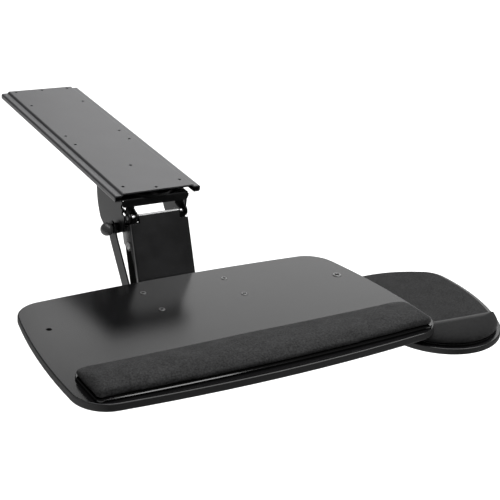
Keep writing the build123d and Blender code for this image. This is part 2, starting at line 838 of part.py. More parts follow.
def make_board_screws():
    low = -board_thickness - tray_sheet - board_nut_height
    screws = []
    for x, y in board_screw_places():
        head = rod_z(x, y, 0, board_screw_head_height, board_screw_head)
        head = chamfer(head.faces().sort_by(Axis.Z)[-1].edges(), length=board_screw_head_height / 2)
        screws.append(board_place * (head + rod_z(x, y, low, 0, board_screw_radius)))
    return Compound(screws)


def make_board_nuts():
    top = -board_thickness - tray_sheet
    nuts = []
    for x, y in board_screw_places():
        nut = along_z(Pos(x, y) * hexagon(board_nut_flats), top - board_nut_height, top)
        nut -= rod_z(x, y, top - overrun, top + overrun, board_screw_radius + running_gap)
        nuts.append(board_place * nut)
    return Compound(nuts)


# Palm rest
def rest_outline(inset, side_inset):
    half = rest_half_width - side_inset
    outline = rectangle(-half, half, -rest_front - overrun, -rest_rear - inset)
    outline &= disc_at(0, rest_front_radius - rest_front, rest_front_radius - inset)
    outline = fillet(outline.vertices().group_by(Axis.Y)[-1], radius=rest_rear_corner - inset)
    return fillet(outline.vertices().group_by(Axis.Y)[0], radius=rest_front_corner - inset)


def make_palm_base():
    body = along_z(rest_outline(0, 0), 0, rest_thickness)
    body = chamfer(body.faces().sort_by(Axis.Z)[-1].edges(), length=rest_thickness / 4)
    return board_place * body


def crowned(start, end, crest_share, low, start_rim, end_rim, top):
    """Section of a cushion: upright rims at both ends and a crown of two arcs between them."""
    crest = start + (end - start) * crest_share
    first = (start, low + start_rim)
    last = (end, low + end_rim)
    first_mid = ((start + crest) / 2, first[1] + (top - first[1]) * crown_share)
    last_mid = ((end + crest) / 2, last[1] + (top - last[1]) * crown_share)
    edges = [Line((start, low), first), ThreePointArc(first, first_mid, (crest, top))]
    edges += [ThreePointArc((crest, top), last_mid, last), Line(last, (end, low))]
    edges.append(Line((end, low), (start, low)))
    return make_face(edges)


def make_palm_cushion():
    rear = -rest_rear - cushion_inset
    front = -rest_front + cushion_inset
    low = rest_thickness
    top = low + cushion_height
    half = rest_half_width - cushion_side_inset
    side = crowned(rear, front, cushion_crest_share, low, cushion_rear_height, cushion_front_height, top)
    body = (
        along_x(side, -half, half)
        & along_z(rest_outline(cushion_inset, cushion_side_inset), low, top + overrun)
    )
    slope = half - cushion_end_slope
    rim = (half, low + cushion_end_height)
    mid = (half - cushion_end_slope * end_mid_share, rim[1] + (top - rim[1]) * crown_share)
    edges = [Line((half, low), rim), ThreePointArc(rim, mid, (slope, top)), Line((slope, top), (-slope, top))]
    edges += [
        ThreePointArc((-slope, top), (-mid[0], mid[1]), (-rim[0], rim[1])),
        Line((-rim[0], rim[1]), (-half, low)),
    ]
    edges.append(Line((-half, low), (half, low)))
    body &= along_y(make_face(edges), front - overrun, rear + overrun)
    return board_place * body


# Mouse platform, drawn with its own middle line at X = 0 and moved sideways last
def circle_crossing(x0, y0, r0, x1, y1, r1):
    """The upper of the two points where two circles cross."""
    run = math.hypot(x1 - x0, y1 - y0)
    along = (run * run + r0 * r0 - r1 * r1) / (2 * run)
    aside = math.sqrt(r0 * r0 - along * along)
    ux, uy = (x1 - x0) / run, (y1 - y0) / run
    points = [(x0 + along * ux - k * aside * uy, y0 + along * uy + k * aside * ux) for k in (-1, 1)]
    return max(points, key=lambda point: point[1])


def side_centre():
    """X of the middle of the right side's arc."""
    return platform_half_width - platform_side_radius


def nose_centre():
    """Y of the middle of the nose's arc, which touches both side arcs from inside."""
    slack = platform_side_radius - platform_nose_radius
    return -platform_widest - math.sqrt(slack * slack - side_centre() * side_centre())


def side_reach(y, inset):
    """Half width of the platform at a Y, less an inset."""
    radius = platform_side_radius - inset
    return side_centre() + math.sqrt(radius * radius - (y + platform_widest) ** 2)


def nose_join(inset):
    """Where the right side's arc runs into the nose."""
    grow = (platform_side_radius - inset) / (platform_side_radius - platform_nose_radius)
    return side_centre() * (1 - grow), -platform_widest + (nose_centre() + platform_widest) * grow


def platform_outline():
    rear_y = platform_rear - platform_rear_radius
    corner = circle_crossing(
        side_centre(), -platform_widest, platform_side_radius, 0, rear_y, platform_rear_radius,
    )
    join = nose_join(0)
    edges = [ThreePointArc(join, (platform_half_width, -platform_widest), corner)]
    edges.append(ThreePointArc(corner, (0, platform_rear), (-corner[0], corner[1])))
    edges.append(
        ThreePointArc(
            (-corner[0], corner[1]), (-platform_half_width, -platform_widest), (-join[0], join[1]),
        )
    )
    edges.append(ThreePointArc((-join[0], join[1]), (0, nose_centre() - platform_nose_radius), join))
    outline = fillet(make_face(edges).vertices().group_by(Axis.Y)[-1], radius=platform_rear_corner)
    outline += disc_at(-platform_middle, 0, pivot_ear_radius)
    return fillet(
        outline.vertices().group_by(Axis.X)[0] + outline.vertices().group_by(Axis.X)[1],
        radius=pivot_ear_blend,
    )


def make_platform():
    body = Pos(platform_middle, 0, 0) * along_z(platform_outline(), -platform_thickness, 0)
    body = fillet(body.faces().sort_by(Axis.Z)[-1].edges(), radius=platform_top_round)
    body = fillet(body.faces().sort_by(Axis.Z)[0].edges(), radius=platform_low_round)
    body -= rod_z(0, 0, -platform_thickness - overrun, overrun, pivot_radius + running_gap)
    for x, y in plate_screw_places():
        depth = plate_screw_length + seat_gap
        body -= rod_z(
            x, y, -platform_thickness - overrun, depth - platform_thickness, plate_screw_radius + running_gap,
        )
    return mouse_place * body


def pad_outline():
    half = platform_half_width - pad_side_inset
    radius = platform_side_radius - pad_side_inset
    outline = (
        disc_at(half - radius, -platform_widest, radius)
        & disc_at(radius - half, -platform_widest, radius)
    )
    outline &= disc_at(0, platform_rear - platform_rear_radius, platform_rear_radius - pad_rear_inset)
    outline &= rectangle(-half, half, -pad_front, platform_rear)
    outline = fillet(outline.vertices().group_by(Axis.Y)[-1], radius=pad_corner)
    return outline - disc_at(-platform_middle, 0, pivot_spacer_radius + pad_pivot_gap)


def make_mouse_pad():
    body = Pos(platform_middle, 0, 0) * along_z(pad_outline(), 0, pad_thickness)
    body = fillet(body.faces().sort_by(Axis.Z)[-1].edges(), radius=pad_thickness / 4)
    return mouse_place * body


def mouse_rest_outline(inset):
    """The platform's nose, drawn in from its edge and cut straight where the pad ends."""
    total = mouse_rest_inset + inset
    rear = -pad_front - mouse_rest_gap - inset
    wide = side_reach(rear, total)
    join = nose_join(total)
    mid_y = (rear + join[1]) / 2
    mid = (side_reach(mid_y, total), mid_y)
    nose = (0, nose_centre() - platform_nose_radius + total)
    edges = [Line((-wide, rear), (wide, rear)), ThreePointArc((wide, rear), mid, join)]
    edges.append(ThreePointArc(join, nose, (-join[0], join[1])))
    edges.append(ThreePointArc((-join[0], join[1]), (-mid[0], mid[1]), (-wide, rear)))
    return make_face(edges)


def make_mouse_palm_base():
    return mouse_place * Pos(platform_middle, 0, 0) * along_z(mouse_rest_outline(0), 0, mouse_rest_thickness)


def make_mouse_palm_cushion():
    rear = -pad_front - mouse_rest_gap - mouse_cushion_inset
    total = mouse_rest_inset + mouse_cushion_inset
    front = nose_centre() - platform_nose_radius + total
    low = mouse_rest_thickness
    top = low + mouse_cushion_height
    half = side_reach(rear, total)
    body = along_z(mouse_rest_outline(mouse_cushion_inset), low, top + overrun)
    side = crowned(rear, front, mouse_cushion_crest_share, low, mouse_cushion_rim, mouse_cushion_rim, top)
    body &= along_x(side, -half, half)
    ends = crowned(-half, half, 0.5, low, mouse_cushion_rim, mouse_cushion_rim, top)
    body &= along_y(ends, front - overrun, rear + overrun)
    return mouse_place * Pos(platform_middle, 0, 0) * body


# Pivot of the mouse platform
def pivot_top():
    return platform_drop


def plate_top():
    return -platform_thickness


def make_pivot_screw():
    end = plate_top() - plate_thickness - seat_gap - pivot_washer_thickness - pivot_nut_height
    head = rod_z(0, 0, pivot_top(), pivot_top() + pivot_head_height, pivot_head_radius)
    head = chamfer(head.faces().sort_by(Axis.Z)[-1].edges(), length=pivot_head_height / 2)
    return mouse_place * (head + rod_z(0, 0, end, pivot_top(), pivot_radius))


def make_pivot_spacer():
    ring = rod_z(0, 0, seat_gap, platform_drop - board_thickness, pivot_spacer_radius)
    return mouse_place * (ring - rod_z(0, 0, -overrun, platform_drop, pivot_radius + running_gap))


def make_pivot_washer():
    top = plate_top() - plate_thickness - seat_gap
    ring = rod_z(0, 0, top - pivot_washer_thickness, top, pivot_washer_radius)
    return mouse_place * (ring - rod_z(0, 0, top - overrun, top + overrun, pivot_radius + running_gap))


def make_pivot_nut():
    top = plate_top() - plate_thickness - seat_gap - pivot_washer_thickness
    nut = along_z(hexagon(pivot_nut_flats), top - pivot_nut_height, top)
    return mouse_place * (nut - rod_z(0, 0, top - overrun, top + overrun, pivot_radius + running_gap))


def plate_screw_places():
    far = plate_reach
    return [(plate_screw_first, 0), (far, plate_screw_spread), (far, -plate_screw_spread)]


def make_mouse_plate():
    top = plate_top()
    near = disc_at(0, 0, plate_pivot_radius)
    far = disc_at(plate_reach, 0, plate_far_radius)
    lean = math.asin((plate_far_radius - plate_pivot_radius) / plate_reach)
    corners = []
    for x, radius in ((0, plate_pivot_radius), (plate_reach, plate_far_radius)):
        corners.append((x - radius * math.sin(lean), radius * math.cos(lean)))
    corners += [(x, -y) for x, y in reversed(corners)]
    body = along_z(near + far + polygon(corners), top - plate_thickness, top)
    body -= rod_z(0, 0, top - overrun, top + overrun, pivot_radius + running_gap)
    for x, y in plate_screw_places():
        body -= rod_z(x, y, top - overrun, top + overrun, plate_screw_radius + running_gap)
    return mouse_place * body


def make_mouse_plate_screws():
    low = plate_top() - plate_thickness
    screws = []
    for x, y in plate_screw_places():
        head = rod_z(x, y, low - plate_screw_head_height, low, plate_screw_head)
        head = chamfer(head.faces().sort_by(Axis.Z)[0].edges(), length=plate_screw_head_height / 2)
        screws.append(mouse_place * (head + rod_z(x, y, low, low + plate_screw_length, plate_screw_radius)))
    return Compound(screws)


pieces = {
    "track": make_track(),
    "end_stops": make_end_stops(),
    "carriage_plate": make_carriage_plate(),
    "glides": make_glides(),
    "carriage_bumper": make_bumper(),
    "swivel_disc": make_swivel_disc(),
    "swivel_bolt": make_swivel_bolt(),
    "swivel_washer": make_swivel_washer(),
    "swivel_nut": make_swivel_nut(),
    "swivel_bracket": make_swivel_bracket(),
    "upper_hinge_pin": make_upper_pin(),
    "arm_cover": make_arm_cover(),
    "arm_frame": make_arm_frame(),
    "arm_bushes": make_arm_bushes(),
    "cover_screws": make_cover_screws(),
    "cover_nuts": make_cover_nuts(),
    "link_stud": make_link_stud(),
    "link_spacer": make_link_spacer(),
    "ball_knob": make_ball_knob(),
    "link_bar": make_link_bar(),
    "link_bolt": make_link_bolt(),
    "link_nut": make_link_nut(),
    "head_yoke": make_head_yoke(),
    "lower_hinge_pin": make_lower_pin(),
    "tilt_bolt": make_tilt_bolt(),
    "tilt_nut": make_tilt_nut(),
    "tilt_washers": make_tilt_washers(),
    "tray_bracket": make_tray_bracket(),
    "keyboard_board": make_board(),
    "board_screws": make_board_screws(),
    "board_nuts": make_board_nuts(),
    "palm_base": make_palm_base(),
    "palm_cushion": make_palm_cushion(),
    "mouse_platform": make_platform(),
    "mouse_pad": make_mouse_pad(),
    "mouse_palm_base": make_mouse_palm_base(),
    "mouse_palm_cushion": make_mouse_palm_cushion(),
    "pivot_screw": make_pivot_screw(),
    "pivot_spacer": make_pivot_spacer(),
    "pivot_washer": make_pivot_washer(),
    "pivot_nut": make_pivot_nut(),
    "mouse_plate": make_mouse_plate(),
    "mouse_plate_screws": make_mouse_plate_screws(),
}

os.makedirs("parts", exist_ok=True)
for name, shape in pieces.items():
    export_step(shape, "parts/" + name + ".step")
    print(name, round(shape.volume))
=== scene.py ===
import json
import math

import bpy
import bmesh
from mathutils import Matrix, Vector, kdtree


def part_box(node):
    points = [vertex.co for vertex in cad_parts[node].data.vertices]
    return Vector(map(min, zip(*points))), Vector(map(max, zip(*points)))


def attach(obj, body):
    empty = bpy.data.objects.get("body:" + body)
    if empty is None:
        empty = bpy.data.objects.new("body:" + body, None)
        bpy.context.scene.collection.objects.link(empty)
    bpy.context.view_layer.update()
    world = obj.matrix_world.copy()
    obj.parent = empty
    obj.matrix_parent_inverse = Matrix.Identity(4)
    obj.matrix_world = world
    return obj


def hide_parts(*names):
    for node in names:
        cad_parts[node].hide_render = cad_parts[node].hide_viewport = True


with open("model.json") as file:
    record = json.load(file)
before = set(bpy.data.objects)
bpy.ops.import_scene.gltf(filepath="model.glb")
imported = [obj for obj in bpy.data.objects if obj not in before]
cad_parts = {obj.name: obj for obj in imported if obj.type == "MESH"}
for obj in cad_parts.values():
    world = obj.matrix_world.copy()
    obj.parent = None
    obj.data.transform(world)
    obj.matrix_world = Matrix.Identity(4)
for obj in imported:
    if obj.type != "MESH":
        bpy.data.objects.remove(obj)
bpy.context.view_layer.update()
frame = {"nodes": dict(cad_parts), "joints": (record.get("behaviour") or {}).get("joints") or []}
nodes = frame["nodes"]
joints = {joint["name"]: joint for joint in frame["joints"]}
MM = 0.001

# Places of the board and of the mouse platform, from the tilt bolt
BOARD_PITCH = math.radians(3.67)
BOARD_BACK = 0.8 * MM
BOARD_RISE = 21.9 * MM
PIVOT_SIDE = 234.7 * MM
PIVOT_FORWARD = 78 * MM
PLATFORM_DROP = 28 * MM
PLATFORM_TURN = math.radians(4.86)

tilt_bolt = Vector(joints["tray_tilt"]["pos_m"])
tilt_bolt.x = 0
BOARD = Matrix.Translation(tilt_bolt) @ Matrix.Rotation(-BOARD_PITCH, 4, "X")
BOARD = BOARD @ Matrix.Translation((0, -BOARD_BACK, BOARD_RISE))
MOUSE = BOARD @ Matrix.Translation((PIVOT_SIDE, -PIVOT_FORWARD, -PLATFORM_DROP))
MOUSE = MOUSE @ Matrix.Rotation(-PLATFORM_TURN, 4, "Z")


# Shader nodes
def new_material(name):
    material = bpy.data.materials.new(name)
    material.use_nodes = True
    tree = material.node_tree
    return material, tree, tree.nodes["Principled BSDF"]


def object_coordinates(tree):
    return tree.nodes.new("ShaderNodeTexCoord").outputs["Object"]


def noise_node(tree, coordinates, scale, detail=3.0):
    node = tree.nodes.new("ShaderNodeTexNoise")
    node.inputs["Scale"].default_value = scale
    node.inputs["Detail"].default_value = detail
    node.inputs["Roughness"].default_value = 0.55
    tree.links.new(coordinates, node.inputs["Vector"])
    return node.outputs["Fac"]


def ramp_node(tree, value, stops):
    """A two-stop colour ramp."""
    node = tree.nodes.new("ShaderNodeValToRGB")
    for element, (place, colour) in zip(node.color_ramp.elements, stops):
        element.position = place
        element.color = (*colour, 1.0)
    tree.links.new(value, node.inputs["Fac"])
    return node.outputs["Color"]


def range_node(tree, value, low, high, start=0.0, full=1.0):
    """Maps start..full to low..high and holds it beyond them."""
    node = tree.nodes.new("ShaderNodeMapRange")
    node.inputs["From Min"].default_value = start
    node.inputs["From Max"].default_value = full
    node.inputs["To Min"].default_value = low
    node.inputs["To Max"].default_value = high
    tree.links.new(value, node.inputs["Value"])
    return node.outputs["Result"]


def math_node(tree, operation, first, second):
    node = tree.nodes.new("ShaderNodeMath")
    node.operation = operation
    tree.links.new(first, node.inputs[0])
    tree.links.new(second, node.inputs[1])
    return node.outputs["Value"]


def bump_node(tree, height, distance, strength, normal=None):
    node = tree.nodes.new("ShaderNodeBump")
    node.inputs["Distance"].default_value = distance
    node.inputs["Strength"].default_value = strength
    tree.links.new(height, node.inputs["Height"])
    if normal is not None:
        tree.links.new(normal, node.inputs["Normal"])
    return node.outputs["Normal"]


def facing(tree, axis, start, full, low, high):
    """A value that goes from low to high as the surface turns towards an axis."""
    parts = tree.nodes.new("ShaderNodeSeparateXYZ")
    tree.links.new(tree.nodes.new("ShaderNodeTexCoord").outputs["Normal"], parts.inputs["Vector"])
    return range_node(tree, parts.outputs[axis], low, high, start, full)


def grey(level, blue=None):
    """A grey, or one whose blue is a little off."""
    return (level, level, level if blue is None else blue)


def shaded(colour, factor):
    return tuple(channel * factor for channel in colour)


# Materials
def coated(name, colour, rough, grain=1400.0, grain_depth=0.00002, metallic=0.0, spec=0.5, mottle=0.12):
    """Painted or moulded surface: fine grain, faint colour mottling and uneven gloss."""
    cloud_scale = 18.0
    gloss_spread = 0.08
    material, tree, shader = new_material(name)
    where = object_coordinates(tree)
    cloud = noise_node(tree, where, cloud_scale)
    fine = noise_node(tree, where, grain, detail=2.0)
    stops = [(0.35, shaded(colour, 1 - mottle)), (0.65, shaded(colour, 1 + mottle))]
    uneven = range_node(tree, cloud, rough * (1 - gloss_spread), rough * (1 + gloss_spread))
    tree.links.new(ramp_node(tree, cloud, stops), shader.inputs["Base Color"])
    tree.links.new(uneven, shader.inputs["Roughness"])
    tree.links.new(bump_node(tree, fine, grain_depth, strength=0.5), shader.inputs["Normal"])
    shader.inputs["Metallic"].default_value = metallic
    shader.inputs["Specular IOR Level"].default_value = spec
    return material


def laminated(name, colour, rough, edge_rough, spec):
    """Satin laminate on the flat faces, with a duller band round the edge."""
    cloud_scale = 14.0
    gloss_spread = 0.07
    material = coated(name, colour, rough, grain=900.0, grain_depth=0.000012, spec=spec)
    tree = material.node_tree
    flat = facing(tree, "Z", start=0.55, full=0.98, low=edge_rough, high=rough)
    cloud = noise_node(tree, object_coordinates(tree), cloud_scale)
    spread = range_node(tree, cloud, low=1 - gloss_spread, high=1 + gloss_spread)
    uneven = math_node(tree, "MULTIPLY", flat, spread)
    tree.links.new(uneven, tree.nodes["Principled BSDF"].inputs["Roughness"])
    return material


def brushed(name, colour, rough, metallic):
    """Plated steel with fine turning marks."""
    mark_scale = (400.0, 2500.0, 2500.0)
    mark_depth = 0.01 * MM
    material, tree, shader = new_material(name)
    stretch = tree.nodes.new("ShaderNodeMapping")
    stretch.inputs["Scale"].default_value = mark_scale
    tree.links.new(object_coordinates(tree), stretch.inputs["Vector"])
    marks = noise_node(tree, stretch.outputs["Vector"], scale=1.0, detail=2.0)
    stops = [(0.3, shaded(colour, 0.8)), (0.7, colour)]
    tree.links.new(ramp_node(tree, marks, stops), shader.inputs["Base Color"])
    tree.links.new(range_node(tree, marks, rough * 0.8, rough * 1.2), shader.inputs["Roughness"])
    tree.links.new(bump_node(tree, marks, mark_depth, strength=0.4), shader.inputs["Normal"])
    shader.inputs["Metallic"].default_value = metallic
    return material


def weave_height(tree, where, pitch):
    """Crossing threads in the plane of the board, one pitch apart."""
    turn = tree.nodes.new("ShaderNodeMapping")
    turn.inputs["Rotation"].default_value = BOARD.inverted().to_euler()
    tree.links.new(where, turn.inputs["Vector"])
    threads = []
    for axis in ("X", "Y"):
        wave = tree.nodes.new("ShaderNodeTexWave")
        wave.bands_direction = axis
        wave.inputs["Scale"].default_value = 1.0 / (pitch * math.pi)
        wave.inputs["Distortion"].default_value = 0.6
        wave.inputs["Detail"].default_value = 1.0
        tree.links.new(turn.outputs["Vector"], wave.inputs["Vector"])
        threads.append(wave.outputs["Fac"])
    return math_node(tree, "MAXIMUM", *threads)


def slub_blend(tree, where):
    """Thick and thin places in the thread over a faint, broad fading."""
    cloud_scale = 45.0
    slub_scale = 420.0
    slub_share = 0.7
    cloud = noise_node(tree, where, cloud_scale, detail=4.0)
    slubs = noise_node(tree, where, slub_scale, detail=2.0)
    blend = tree.nodes.new("ShaderNodeMath")
    blend.operation = "MULTIPLY_ADD"
    blend.inputs[1].default_value = slub_share
    tree.links.new(slubs, blend.inputs[0])
    tree.links.new(range_node(tree, cloud, 0.0, 1 - slub_share), blend.inputs[2])
    return blend.outputs["Value"]


def woven(name, colour, pitch, depth, sheen=0.03):
    """Fine plain weave laid in the plane of the board, with slubs and faint fading."""
    fuzz_scale = 900.0
    material, tree, shader = new_material(name)
    where = object_coordinates(tree)
    weave = weave_height(tree, where, pitch)
    stops = [(0.3, shaded(colour, 0.3)), (0.7, shaded(colour, 1.7))]
    base = ramp_node(tree, slub_blend(tree, where), stops)
    gaps = ramp_node(tree, weave, [(0.1, grey(0.35)), (0.8, grey(1.0))])
    mix = tree.nodes.new("ShaderNodeMix")
    mix.data_type = "RGBA"
    mix.blend_type = "MULTIPLY"
    mix.inputs["Factor"].default_value = 0.55
    tree.links.new(base, mix.inputs["A"])
    tree.links.new(gaps, mix.inputs["B"])
    tree.links.new(mix.outputs["Result"], shader.inputs["Base Color"])
    relief = bump_node(tree, weave, depth, strength=0.6)
    fuzz = noise_node(tree, where, fuzz_scale)
    tree.links.new(bump_node(tree, fuzz, depth * 0.5, strength=0.5, normal=relief), shader.inputs["Normal"])
    shader.inputs["Roughness"].default_value = 0.85
    shader.inputs["Sheen Weight"].default_value = sheen
    shader.inputs["Sheen Roughness"].default_value = 0.5
    shader.inputs["Specular IOR Level"].default_value = 0.12
    return material


def painted_facing_light(material, level, share, axis, start, full):
    """Paints light into the base colour: a lighter grey where the surface faces along an axis."""
    tree = material.node_tree
    socket = tree.nodes["Principled BSDF"].inputs["Base Color"]
    paint = socket.links[0].from_socket
    mix = tree.nodes.new("ShaderNodeMix")
    mix.data_type = "RGBA"
    mix.inputs["B"].default_value = (*grey(level), 1.0)
    tree.links.new(paint, mix.inputs["A"])
    tree.links.new(facing(tree, axis, start, full, 0.0, share), mix.inputs["Factor"])
    tree.links.new(mix.outputs["Result"], socket)
    return material


CUSHION_PITCH = 0.9 * MM
CUSHION_DEPTH = 0.12 * MM
PAD_PITCH = 0.5 * MM
PAD_DEPTH = 0.05 * MM

TRACK = coated("track_coat", grey(0.041, blue=0.043), rough=0.42, spec=0.55)
BRACKET = coated("bracket_coat", grey(0.007, blue=0.0073), rough=0.38, spec=0.22)
ARM = coated("arm_coat", grey(0.011, blue=0.0115), rough=0.23, spec=0.95, mottle=0.5)
# Painted highlight: up-facing surfaces of the arm, such as the cover's rolled top edge, get a light grey in
# their colour
painted_facing_light(ARM, level=0.42, share=0.85, axis="Z", start=0.66, full=0.85)
# The frame's coat is set much darker than the cover's as painted shade for its place behind the cover's
# sides
FRAME = coated("frame_coat", grey(0.0025), rough=0.75, spec=0.02)
LINK = coated("link_coat", grey(0.009, blue=0.0094), rough=0.42, spec=0.17)
BLACK_STEEL = coated("blackened_steel", grey(0.02, blue=0.021), rough=0.35, metallic=0.3)
SCREW = coated("screw_finish", grey(0.17), rough=0.35, metallic=0.9)
NYLON = coated("black_nylon", grey(0.004), rough=0.5, grain=700.0, spec=0.2)
PLUG = coated("plug_rubber", grey(0.0015), rough=0.8, grain=700.0, spec=0.05)
KNOB = coated("knob_plastic", grey(0.065), rough=0.3, grain=500.0)
GLOSS = coated("gloss_plastic", grey(0.004), rough=0.08, grain=300.0, grain_depth=0.000004, spec=0.36)
# Near-black cross slots: painted shade standing in for the hollow of each screw's cross recess
RECESS_SHADE = coated("screw_recess", grey(0.004), rough=0.6, spec=0.1)
ZINC = brushed("zinc_plate", grey(0.72, blue=0.73), rough=0.32, metallic=1.0)
# Near-white and only partly metallic: the cover screws' own silver plus a painted glint, so the heads read
# bright with no lamp at their side
BRIGHT = brushed("bright_screw", grey(0.85), rough=0.3, metallic=0.25)
LAMINATE = laminated("board_laminate", grey(0.0035, blue=0.0037), rough=0.20, edge_rough=0.75, spec=0.25)
# Painted reflection: left-facing edges of the board and platform get a lighter grey in their colour,
# standing in for the bright floor they face
painted_facing_light(LAMINATE, level=0.06, share=0.9, axis="X", start=-0.35, full=-0.9)
CUSHION = woven("cushion_cloth", grey(0.024, blue=0.0244), CUSHION_PITCH, CUSHION_DEPTH)
MOUSE_CUSHION = woven(
    "mouse_cushion_cloth", grey(0.006, blue=0.0062), CUSHION_PITCH, CUSHION_DEPTH, sheen=0.07,
)
# Painted sheen: the rear-facing slope along the cushion's crest gets a lighter grey in its colour
painted_facing_light(MOUSE_CUSHION, level=0.10, share=0.5, axis="Y", start=0.12, full=0.32)
PAD = woven("pad_cloth", grey(0.0175, blue=0.0178), PAD_PITCH, PAD_DEPTH)

FINISH = {
    TRACK: ["track"],
    BRACKET: ["swivel_bracket", "carriage_plate"],
    ARM: ["arm_cover", "head_yoke", "tray_bracket"],
    FRAME: ["arm_frame"],
    LINK: ["link_bar"],
    BLACK_STEEL: [
        "swivel_bolt", "link_stud", "link_bolt", "tilt_bolt", "mouse_plate", "mouse_plate_screws",
    ],
    SCREW: ["board_screws", "pivot_screw"],
    PLUG: ["end_stops"],
    NYLON: [
        "glides", "carriage_bumper", "swivel_disc", "arm_bushes", "link_spacer", "tilt_washers",
        "pivot_spacer",
    ],
    KNOB: ["ball_knob"],
    BRIGHT: ["cover_screws"],
    ZINC: [
        "swivel_washer", "swivel_nut", "upper_hinge_pin", "cover_nuts", "link_nut", "lower_hinge_pin",
        "tilt_nut", "board_nuts", "pivot_washer", "pivot_nut",
    ],
    LAMINATE: ["keyboard_board", "mouse_platform"],
    GLOSS: ["palm_base", "mouse_palm_base"],
    CUSHION: ["palm_cushion"],
    MOUSE_CUSHION: ["mouse_palm_cushion"],
    PAD: ["mouse_pad"],
}
for finish, names in FINISH.items():
    for node_name in names:
        for slot in nodes[node_name].material_slots:
            slot.material = finish


# Building helpers
def shade_smooth(piece):
    for face in piece.data.polygons:
        face.use_smooth = True


def add_object(name, mesh, material):
    piece = bpy.data.objects.new(name, mesh)
    bpy.context.scene.collection.objects.link(piece)
    piece.data.materials.clear()
    piece.data.materials.append(material)
    shade_smooth(piece)
    return piece


def add_mesh(name, mesh, material):
    """Turns an edit mesh into a piece."""
    data = bpy.data.meshes.new(name)
    mesh.to_mesh(data)
    mesh.free()
    return add_object(name, data, material)


def walled(mesh, low, high):
    """Joins two rings of the same count by a wall."""
    for i in range(len(low)):
        j = (i + 1) % len(low)
        mesh.faces.new((low[i], low[j], high[j], high[i]))


def baked(piece):
    """Applies the piece's modifiers to its mesh."""
    bpy.context.view_layer.update()
    graph = bpy.context.evaluated_depsgraph_get()
    mesh = bpy.data.meshes.new_from_object(piece.evaluated_get(graph))
    piece.modifiers.clear()
    old = piece.data
    piece.data = mesh
    bpy.data.meshes.remove(old)


def inflate(piece, cap, frames=20):
    """Lets the cover swell under pressure like a filled pad, and keeps each point within a cap."""
    start = [vertex.co.copy() for vertex in piece.data.vertices]
    cloth = piece.modifiers.new("Cloth", "CLOTH")
    cloth.settings.use_pressure = True
    cloth.settings.uniform_pressure_force = 4.0
    cloth.settings.tension_stiffness = 30.0
    cloth.settings.effector_weights.gravity = 0.0
    cloth.point_cache.frame_start = 1
    cloth.point_cache.frame_end = frames
    for number in range(1, frames + 1):
        bpy.context.scene.frame_set(number)
    baked(piece)
    bpy.context.scene.frame_set(1)
    for vertex, before in zip(piece.data.vertices, start):
        move = vertex.co - before
        if move.length > cap:
            vertex.co = before + move * (cap / move.length)


def remeshed(piece, voxel, smoothing):
    """Gives the piece an even mesh and rounds it off."""
    remesh = piece.modifiers.new("Remesh", "REMESH")
    remesh.mode = "VOXEL"
    remesh.voxel_size = voxel
    smooth = piece.modifiers.new("Smooth", "SMOOTH")
    smooth.factor = 0.5
    smooth.iterations = smoothing
    baked(piece)


def settled(piece, place, floor, cap):
    """Swells a pad, sets its underside flat on its base and divides it once."""
    near = 0.4 * MM
    gap = 0.02 * MM
    inflate(piece, cap)
    inverse = place.inverted()
    for vertex in piece.data.vertices:
        local = inverse @ vertex.co
        if local.z < floor + near:
            local.z = max(local.z, floor + gap)
        vertex.co = place @ local
    divide = piece.modifiers.new("Subdivision", "SUBSURF")
    divide.levels = 1
    divide.render_levels = 1
    baked(piece)
    shade_smooth(piece)
    return piece


def rim_loop(mesh, level):
    """The points round the flat faces that lie at one level, in order."""
    flatness = 0.05 * MM
    flat = {face for face in mesh.faces if all(abs(v.co.z - level) < flatness for v in face.verts)}
    rim = [edge for edge in mesh.edges if sum(face in flat for face in edge.link_faces) == 1]
    first = max(rim, key=lambda edge: edge.calc_length())
    loop = [first.verts[0], first.verts[1]]
    unused = set(rim) - {first}
    while unused:
        following = next((edge for edge in loop[-1].link_edges if edge in unused), None)
        if following is None:
            break
        unused.remove(following)
        loop.append(following.other_vert(loop[-1]))
    return [vertex.co.to_2d() for vertex in loop[:-1]]


def evenly_spaced(ring, step):
    """The same closed outline with its points about one step apart."""
    closest = 0.6 * step
    points = []
    for a, b in zip(ring, ring[1:] + ring[:1]):
        count = max(1, round((b - a).length / step))
        points += [a.lerp(b, i / count) for i in range(count)]
    even = [points[0]]
    for point in points[1:]:
        if (point - even[-1]).length > closest:
            even.append(point)
    return even


def plan_outline(node, place, step, upper=True):
    """The plan outline of a node's flat top or bottom, in its board's frame, anticlockwise."""
    mesh = bmesh.new()
    mesh.from_mesh(nodes[node].data)
    mesh.transform(place.inverted())
    bmesh.ops.remove_doubles(mesh, verts=mesh.verts, dist=0.001 * MM)
    mesh.normal_update()
    level = (max if upper else min)(vertex.co.z for vertex in mesh.verts)
    ring = rim_loop(mesh, level)
    mesh.free()
    if sum(a.x * b.y - b.x * a.y for a, b in zip(ring, ring[1:] + ring[:1])) < 0:
        ring.reverse()
    return evenly_spaced(ring, step)


def outline_tree(ring):
    """Finds the nearest point of a plan outline."""
    tree = kdtree.KDTree(len(ring))
    for i, point in enumerate(ring):
        tree.insert(point.to_3d(), i)
    tree.balance()
    return tree


# Kinds of pad
def soft_pad(name, node, place, floor, voxel, cap, spread):
    """A filled cushion grown from the space that its solid holds."""
    piece = add_object(name, nodes[node].data.copy(), CUSHION)
    remeshed(piece, voxel, 4)
    inverse = place.inverted()
    centre = sum((inverse @ v.co for v in piece.data.vertices), Vector()) / len(piece.data.vertices)
    for vertex in piece.data.vertices:
        local = inverse @ vertex.co
        away = local - centre
        away.z = 0
        if away.length > 0:
            local += away.normalized() * spread
        vertex.co = place @ local
    return settled(piece, place, floor, cap)


